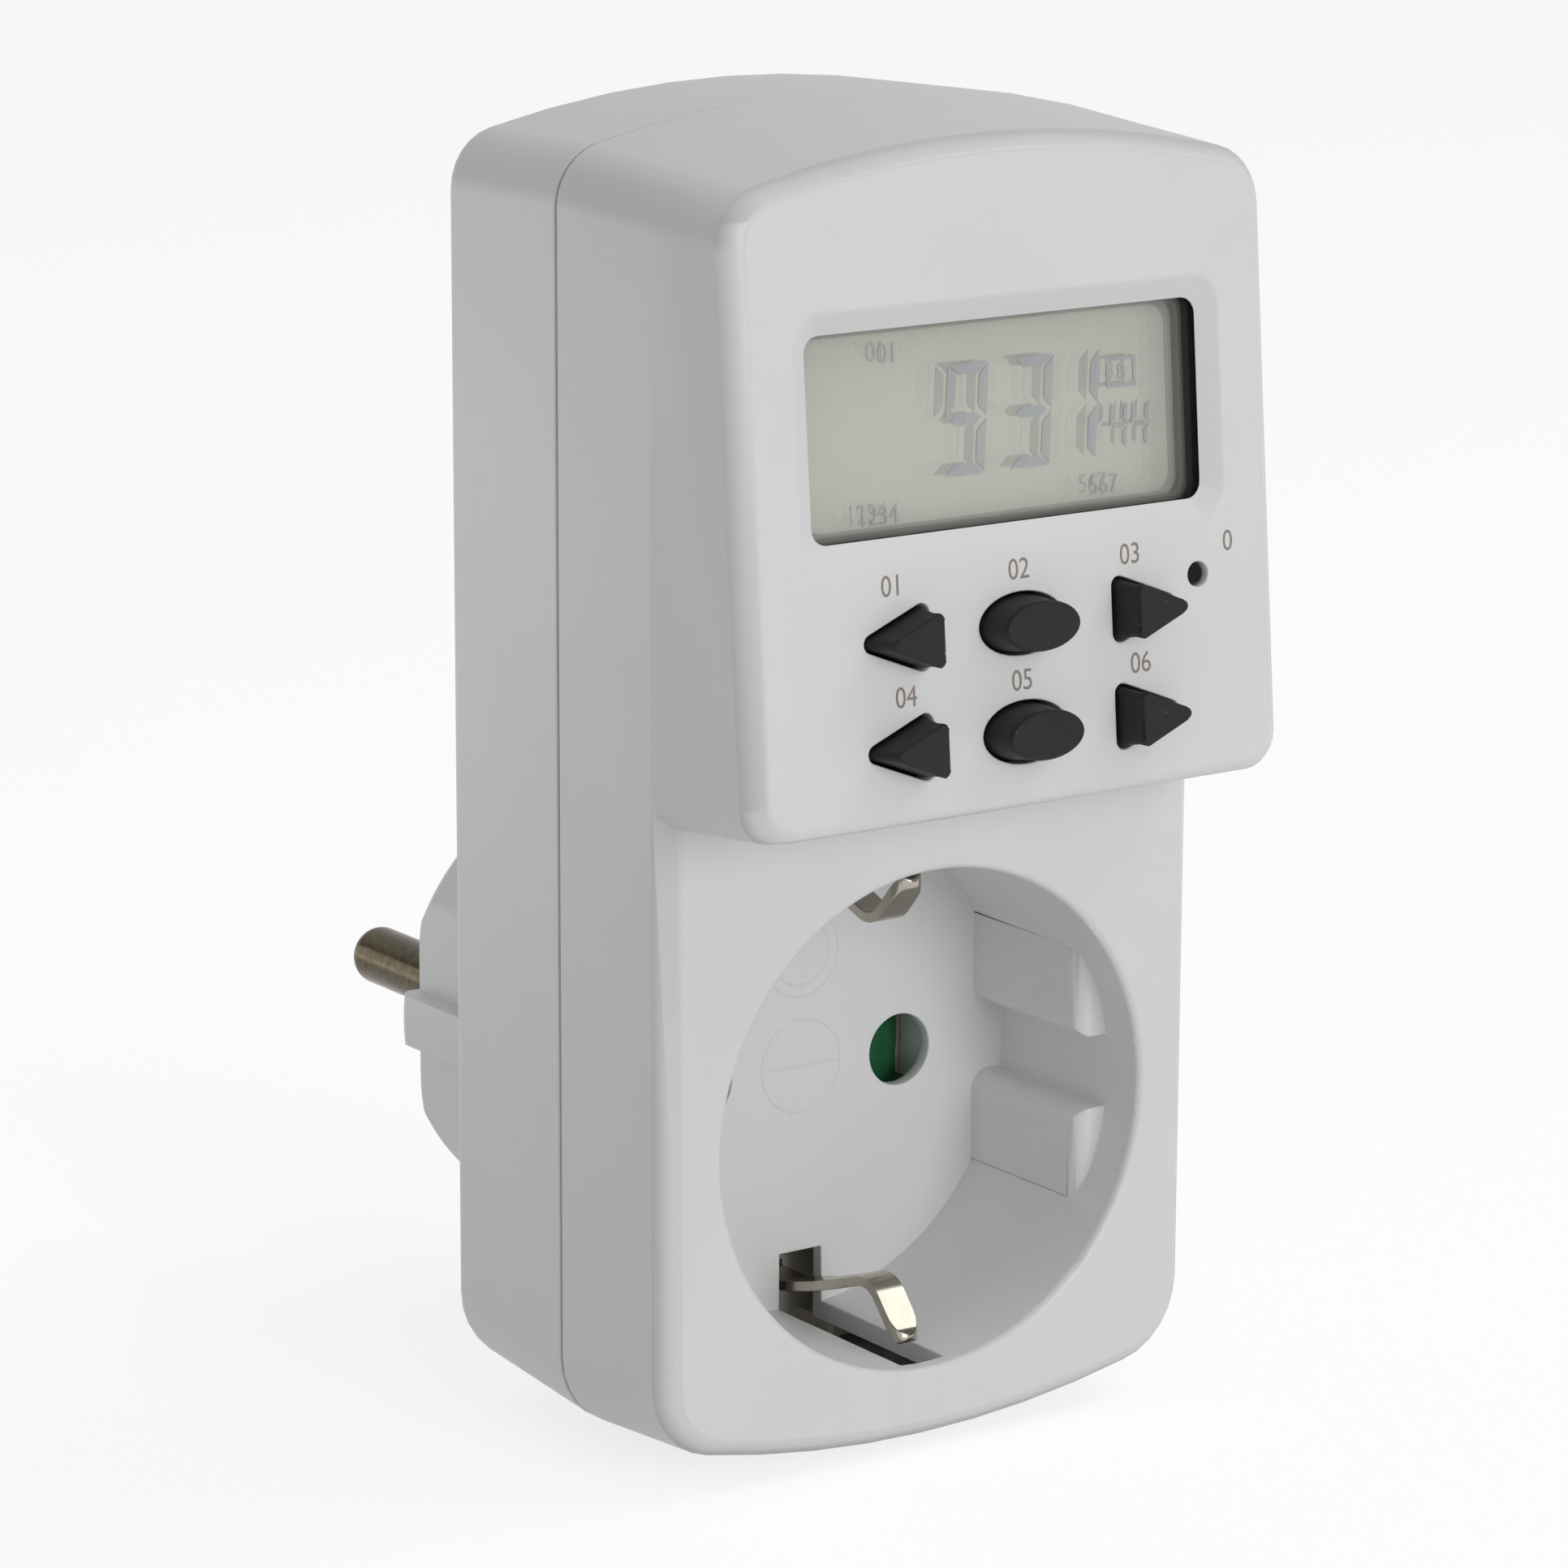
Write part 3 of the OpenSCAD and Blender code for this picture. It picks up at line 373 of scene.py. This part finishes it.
def hang_lamps():
    """A soft lamp in front, a smaller one above on the right, and a weak one low behind on the left."""
    for name, place, size, watts in LAMPS:
        lamp = bpy.data.lights.new(name, "AREA")
        lamp.shape = "DISK"
        lamp.size = size
        lamp.energy = watts
        lamp.color = LAMP_TINT
        holder = bpy.data.objects.new(name, lamp)
        SCENE.collection.objects.link(holder)
        aim = Vector(LAMP_AIM) - Vector(place)
        turn = aim.to_track_quat("-Z", "Y").to_matrix().to_4x4()
        holder.matrix_world = Matrix.Translation(place) @ turn


# ---------------------------------------------------------------- pieces

def shade(mesh, smooth_under):
    """Edges flatter than that many degrees shade smooth, the rest stay crisp."""
    for face in mesh.faces:
        face.smooth = True
    for edge in mesh.edges:
        edge.smooth = edge.is_manifold and edge.calc_face_angle(pi) < radians(smooth_under)


def add_to(mesh, part):
    """Moves one bmesh into another."""
    data = bpy.data.meshes.new("part")
    part.to_mesh(data)
    part.free()
    mesh.from_mesh(data)
    bpy.data.meshes.remove(data)


def finished(name, body, mesh, material, slot, *nodes):
    """A piece that rides on a body. Where it names CAD nodes, it stands for them."""
    piece = as_object(name, mesh, material)
    weigh = piece.modifiers.new("even_shading", "WEIGHTED_NORMAL")
    weigh.keep_sharp = True
    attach(piece, body)
    if nodes:
        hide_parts(*nodes)
    return piece


# ----------------------------------------------------------------- panel

# How far the panel leans back, and where the middle of its lower edge is, in millimetres.
PANEL_LEAN = radians(4.86)
PANEL_FOOT = (0, -59.4, 26.6)
# Height of the middle of the display up the panel, in millimetres.
GLASS_V = 28.75


def to_panel():
    """Takes a mesh drawn flat in millimetres, x across and y up, to the panel's face, z towards the user."""
    across = (1, 0, 0)
    upward = (0, sin(PANEL_LEAN), cos(PANEL_LEAN))
    outward = (0, -cos(PANEL_LEAN), sin(PANEL_LEAN))
    turn = Matrix((across, upward, outward)).transposed().to_4x4()
    return Matrix.Translation(Vector(PANEL_FOOT) * MM) @ turn @ Matrix.Scale(MM, 4)


def thicken(mesh, thick):
    """Gives flat faces a thickness behind their front."""
    mesh.normal_update()
    bmesh.ops.reverse_faces(mesh, faces=[f for f in mesh.faces if f.normal.z < 0])
    bmesh.ops.solidify(mesh, geom=mesh.faces[:], thickness=thick)
    bmesh.ops.recalc_face_normals(mesh, faces=mesh.faces[:])


def on_panel(name, mesh, material, slot, *nodes, depth, thick):
    """A finished piece from a flat drawing: thickened, and laid with its front that deep in the panel."""
    bmesh.ops.remove_doubles(mesh, verts=mesh.verts, dist=1e-4)
    thicken(mesh, thick)
    top = max(v.co.z for v in mesh.verts)
    bmesh.ops.translate(mesh, vec=(0, 0, -depth - top), verts=mesh.verts)
    mesh.transform(to_panel())
    return finished(name, "housing", mesh, material, slot, *nodes)


# ------------------------------------------------------------ CAD pieces

KEYS = ("key_up", "key_set", "key_down", "key_random", "key_countdown", "key_manual")
# The edge radius in millimetres that each piece's tool leaves, and the steps that draw it.
EDGES = {
    "front_housing": (0.12, 2), "back_cover": (0.12, 2), "earth_clip_upper": (0.06, 2),
    "earth_clip_lower": (0.06, 2), "shutter": (0.15, 2), "contact_carrier": (0.04, 1),
    "earth_strap": (0.08, 2), **dict.fromkeys(KEYS, (0.2, 3)),
}
# Edges sharper than this are rounded, and copies shade smooth over flatter ones, in degrees.
SHARP = 50
# An edge beside a face smaller than this, in square metres, belongs to a rounding already.
TINY_FACE = 2e-8
# The slope round the display window: the centre of its corners' rounding, and half the space that holds it.
DISH_CORNER, DISH_HALF = Vector((16.45, 6.25)), (19.0, 8.8)
# How far the slope's outer edge moves out, the radius of its rim and how flat the panel is, in millimetres.
DISH_WIDER, DISH_RIM, PANEL_FLAT = 0.6, 0.3, 0.02
# Only edges that turn by more than this belong to the rim.
RIM_TURN = radians(15)


def weld(node):
    """A merged copy of a CAD node's mesh, with its flat faces whole."""
    mesh = bmesh.new()
    mesh.from_mesh(frame["nodes"][node].data)
    bmesh.ops.remove_doubles(mesh, verts=mesh.verts, dist=2e-6)
    bmesh.ops.dissolve_limit(mesh, angle_limit=radians(0.3), verts=mesh.verts, edges=mesh.edges)
    return mesh


def widen_display_dish(mesh):
    """Moves the outer edge of the slope round the display window outwards along the panel, and rounds it."""
    flat = to_panel().inverted()
    core_x, core_v = DISH_CORNER
    half_x, half_v = DISH_HALF
    ring = set()
    for vert in mesh.verts:
        x, v, out = flat @ vert.co
        v -= GLASS_V
        if abs(out) > PANEL_FLAT or abs(x) > half_x or abs(v) > half_v:
            continue
        away = Vector((x - max(-core_x, min(core_x, x)), v - max(-core_v, min(core_v, v))))
        away = away.normalized() * DISH_WIDER
        vert.co = to_panel() @ Vector((x + away.x, v + away.y + GLASS_V, out))
        ring.add(vert)
    rim = [e for e in mesh.edges if ring.issuperset(e.verts) and e.calc_face_angle(0) > RIM_TURN]
    bmesh.ops.bevel(mesh, geom=rim, offset=DISH_RIM * MM, offset_type="OFFSET", segments=3, profile=0.5,
                    affect="EDGES", clamp_overlap=False, material=-1)


def soften(mesh, radius_mm, steps):
    """Rounds every sharp edge, as a mould or a press leaves it."""
    sharp = [e for e in mesh.edges if e.is_manifold and e.calc_face_angle(0) > radians(SHARP)
             and min(f.calc_area() for f in e.link_faces) > TINY_FACE]
    bmesh.ops.bevel(mesh, geom=sharp, offset=radius_mm * MM, offset_type="OFFSET", segments=steps,
                    profile=0.5, affect="EDGES", clamp_overlap=False, material=-1)
    bmesh.ops.remove_doubles(mesh, verts=mesh.verts, dist=1e-6)


def softened(node):
    """A copy of a CAD node's mesh with its edges as they come out of the tool."""
    mesh = weld(node)
    if node == "front_housing":
        widen_display_dish(mesh)
    soften(mesh, *EDGES[node])
    shade(mesh, SHARP)
    return mesh


def finish_cad_pieces():
    """Every CAD piece gets its finish; those whose edges show get a softened copy in their place."""
    for node, cad in frame["nodes"].items():
        material = FINISH[SLOT[node]]
        if node in EDGES:
            finished(node + "_moulded", BODY[node], softened(node), material, SLOT[node], node)
        elif node != "shutter_spring":
            cad.data.materials.clear()
            # The pins take the darkened nickel. Its dark colour is partly painted shade, standing in for the
            # dark room that they mirror.
            cad.data.materials.append(nickel_dulled_painted_dark if node.startswith("plug_pin") else material)


def shutter_spring():
    """The wound spring behind the shutter, as a smooth-shaded copy of its CAD mesh."""
    mesh = weld("shutter_spring")
    shade(mesh, smooth_under=70)
    spring = finished("shutter_spring_wound", BODY["shutter_spring"], mesh, steel_zinc_plated,
                      SLOT["shutter_spring"], "shutter_spring")
    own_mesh(spring)


# --------------------------------------------------------------- display

# Lit bars of each figure: a is the top, then clockwise to f, and g is the middle.
LIT = {"1": "bc", "3": "abcdg", "4": "bcfg", "9": "abcdfg"}
# How far a figure leans to the right for each unit of its height.
SLANT = 0.1
# The width and height of the whole cell, and of the seal inside its edge, in millimetres.
CELL, SEAL = (37.2, 16.8), (35.8, 15.4)
# How far the marks' shadows fall to the left and up, seen through the cell's glass.
SHADOW_SHIFT = (-1.05, 0.2, 0)
FILM_THICK = 0.03


def flat_bar(mesh, wide, high, x, v, corner, steps=1):
    """Adds a flat bar in millimetres, centred on x and v, with its corners cut or rounded."""
    corners = bmesh.ops.create_grid(mesh, x_segments=1, y_segments=1, size=0.5)["verts"]
    bmesh.ops.scale(mesh, vec=(wide, high, 1), verts=corners)
    bmesh.ops.translate(mesh, vec=(x, v, 0), verts=corners)
    bmesh.ops.bevel(mesh, geom=corners, offset=corner, segments=steps, profile=0.5, affect="VERTICES",
                    material=-1)


def frame_ring(mesh, outer, inner, corner, x=0, v=GLASS_V):
    """Adds a flat ring between two rounded rectangles, given as their widths and heights."""
    ring = bmesh.new()
    for wide, high in (inner, outer):
        flat_bar(ring, wide, high, x, v, corner, steps=8)
        bmesh.ops.delete(ring, geom=ring.faces[:], context="FACES_ONLY")
    bmesh.ops.bridge_loops(ring, edges=ring.edges[:])
    add_to(mesh, ring)


def mitred_bar(mesh, long, wide, x, v, quarter_turns):
    """Adds one outer bar of a figure: a strip with a shorter inner side, so that bars meet in a mitre."""
    part = bmesh.new()
    corners = bmesh.ops.create_grid(part, x_segments=1, y_segments=1, size=0.5)["verts"]
    bmesh.ops.scale(part, vec=(long, wide, 1), verts=corners)
    inner = [c for c in corners if c.co.y < 0]
    bmesh.ops.scale(part, vec=((long - 2 * wide) / long, 1, 1), verts=inner)
    turn = Matrix.Rotation(quarter_turns * pi / 2, 3, "Z")
    bmesh.ops.rotate(part, cent=(0, 0, 0), matrix=turn, verts=corners)
    bmesh.ops.translate(part, vec=(x, v, 0), verts=corners)
    add_to(mesh, part)


def figure(mesh, name, x, v, wide, high, stroke):
    """Adds one figure of slanted bars, in millimetres, with its lower left corner at x and v."""
    gap = 0.36 * stroke
    half, edge = high / 2, stroke / 2
    bars = {"a": (wide / 2, high - edge, 0), "d": (wide / 2, edge, 2), "f": (edge, half * 1.5, 1),
            "e": (edge, half / 2, 1), "b": (wide - edge, half * 1.5, 3), "c": (wide - edge, half / 2, 3)}
    part = bmesh.new()
    for letter in LIT[name]:
        if letter == "g":
            flat_bar(part, wide - stroke - gap, stroke, wide / 2, half, stroke * 0.48)
            continue
        at_x, at_v, quarter_turns = bars[letter]
        long = (half if quarter_turns % 2 else wide) - gap
        mitred_bar(part, long, stroke, at_x, at_v, quarter_turns)
    part.transform(Matrix(((1, SLANT, 0, x), (0, 1, 0, v), (0, 0, 1, 0), (0, 0, 0, 1))))
    add_to(mesh, part)


def write(mesh, text, x, v, high):
    """Adds plain narrow numbers, in millimetres, as tall as high and centred on x and v."""
    narrow = 0.9
    letters = bpy.data.curves.new("figures", "FONT")
    letters.body = text
    holder = bpy.data.objects.new("figures", letters)
    SCENE.collection.objects.link(holder)
    flat = bpy.data.meshes.new_from_object(holder.evaluated_get(bpy.context.evaluated_depsgraph_get()))
    bpy.data.objects.remove(holder)
    xs, ys = [p.co.x for p in flat.vertices], [p.co.y for p in flat.vertices]
    centre = Matrix.Translation((-(min(xs) + max(xs)) / 2, -(min(ys) + max(ys)) / 2, 0))
    size = high / (max(ys) - min(ys))
    flat.transform(Matrix.Translation((x, v, 0)) @ Matrix.Diagonal((size * narrow, size, 1, 1)) @ centre)
    mesh.from_mesh(flat)
    bpy.data.meshes.remove(flat)


def display_marks():
    """The lit marks of the display: hours and minutes, small seconds, a box and three small counters."""
    mesh = bmesh.new()
    for name, x in (("9", -4.1), ("3", 1.9), ("1", 6.2)):
        figure(mesh, name, x, v=24.75, wide=3.7, high=8.15, stroke=0.78)
    for name, x in (("4", 11.2), ("4", 13.2)):
        figure(mesh, name, x, v=25.3, wide=1.6, high=3.45, stroke=0.38)
    frame_ring(mesh, outer=(2.8, 2.3), inner=(2.2, 1.7), corner=0.1, x=12.6, v=31.0)
    write(mesh, "8", x=12.6, v=31.0, high=1.3)
    write(mesh, "01", x=-8.8, v=34.25, high=1.45)
    write(mesh, "1234", x=-9.85, v=22.6, high=1.45)
    write(mesh, "567", x=10.65, v=22.8, high=1.4)
    return mesh


def display():
    """A liquid-crystal cell: a pale reflector, marks and their painted shadows, and a grey seal, partly
    painted shade, with its painted shadow.
    """
    reflector = bmesh.new()
    flat_bar(reflector, *CELL, x=0, v=GLASS_V, corner=0.6, steps=4)
    on_panel("display_reflector", reflector, FINISH["lcd_glass"], "lcd_glass", "display_cell",
             depth=3.5, thick=2.1)
    shadows = display_marks()
    bmesh.ops.translate(shadows, vec=SHADOW_SHIFT, verts=shadows.verts)
    shaded = film("polariser_film_shaded", "#a5a79e", "#aaaca3")
    on_panel("display_shadows", shadows, shaded, "lcd_glass", depth=3.48, thick=FILM_THICK)
    switched = film("liquid_crystal_switched", "#a8aaae", "#adafb3")
    on_panel("display_marks", display_marks(), switched, "lcd_glass", depth=3.42, thick=FILM_THICK)
    halo = bmesh.new()
    frame_ring(halo, outer=CELL, inner=(33.5, 14.0), corner=1.5)
    seal_shaded = film("epoxy_seal_shaded", "#a1a29a", "#a7a8a0")
    on_panel("display_seal_shadow", halo, seal_shaded, "lcd_glass", depth=3.46, thick=FILM_THICK)
    seal = bmesh.new()
    frame_ring(seal, outer=SEAL, inner=(34.8, 14.6), corner=1.2)
    # The seal is a real grey band. Its darker grey is also painted shade for the shadow of the black frame
    # beside it.
    seal_with_painted_shade = film("epoxy_seal_painted_shade", "#7b7c76", "#82837d")
    on_panel("display_seal", seal, seal_with_painted_shade, "lcd_glass", depth=2.8, thick=0.6)


# -------------------------------------------------------- printed figures

# The height of the two rows up the panel, and each number with its place across it, in millimetres.
UPPER_ROW = (17.9, (("01", -11.75), ("02", -0.15), ("03", 10.1), ("0", 19.4)))
LOWER_ROW = (9.7, (("04", -10.7), ("05", -0.24), ("06", 10.8)))
# How tall the numbers are, and how far they stand proud of the panel.
FIGURE_HIGH, INK_PROUD = 1.55, 0.012


def key_figures():
    """A plain number over each key and beside the reset hole, pad-printed in warm grey ink."""
    ink = film("ink_grey_pad_printed", "#918378", "#978a80", rough=0.5)
    mesh = bmesh.new()
    for v, numbers in (UPPER_ROW, LOWER_ROW):
        for text, x in numbers:
            write(mesh, text, x, v, FIGURE_HIGH)
    on_panel("key_figures", mesh, ink, "white_shell", depth=-INK_PROUD, thick=FILM_THICK)


# -------------------------------------------------------- recess markings

RECESS_FLOOR_Y = -30.4
# The radius of the raised lines and how deep their middle lies in the floor.
BEAD_R, BEAD_SUNK = 0.13, 0.06
# Radius and height of the middle of each ring. The first is the lower one, which has the bar.
RINGS = ((3.75, 0.2), (3.5, 9.3), (2.6, 9.3))
BAR_LONG = 7.4


def bead(mesh, radius, z):
    """Adds a low round bead in millimetres, as the mould leaves it raised on the recess floor."""
    part = bmesh.new()
    bmesh.ops.create_circle(part, segments=10, radius=BEAD_R)
    bmesh.ops.rotate(part, cent=(0, 0, 0), matrix=Matrix.Rotation(pi / 2, 3, "X"), verts=part.verts)
    bmesh.ops.translate(part, vec=(radius, 0, 0), verts=part.verts)
    bmesh.ops.spin(part, geom=part.verts[:] + part.edges[:], cent=(0, 0, 0), axis=(0, 0, 1), angle=2 * pi,
                   steps=72, use_merge=True, use_duplicate=False)
    bmesh.ops.translate(part, vec=(0, z, 0), verts=part.verts)
    add_to(mesh, part)


def recess_rings():
    """Blank moulded rings on the recess floor, the lower one with a bar across it."""
    mesh = bmesh.new()
    for radius, z in RINGS:
        bead(mesh, radius, z)
    bar = bmesh.ops.create_cone(mesh, cap_ends=True, segments=10, radius1=BEAD_R, radius2=BEAD_R,
                                depth=BAR_LONG)["verts"]
    bmesh.ops.rotate(mesh, cent=(0, 0, 0), matrix=Matrix.Rotation(pi / 2, 3, "Y"), verts=bar)
    bmesh.ops.translate(mesh, vec=(0, RINGS[0][1], 0), verts=bar)
    bmesh.ops.remove_doubles(mesh, verts=mesh.verts, dist=1e-4)
    bmesh.ops.recalc_face_normals(mesh, faces=mesh.faces[:])
    place = Matrix.Translation(Vector((0, RECESS_FLOOR_Y + BEAD_SUNK, 0)) * MM)
    mesh.transform(place @ Matrix.Rotation(pi / 2, 4, "X") @ Matrix.Scale(MM, 4))
    shade(mesh, smooth_under=60)
    finished("recess_rings", "housing", mesh, abs_white, "white_shell")


# ------------------------------------------------------------ the scene

place_camera()
SCENE.view_settings.view_transform = "Standard"
lay_floor()
make_room()
hang_lamps()
finish_cad_pieces()
shutter_spring()
display()
key_figures()
recess_rings()
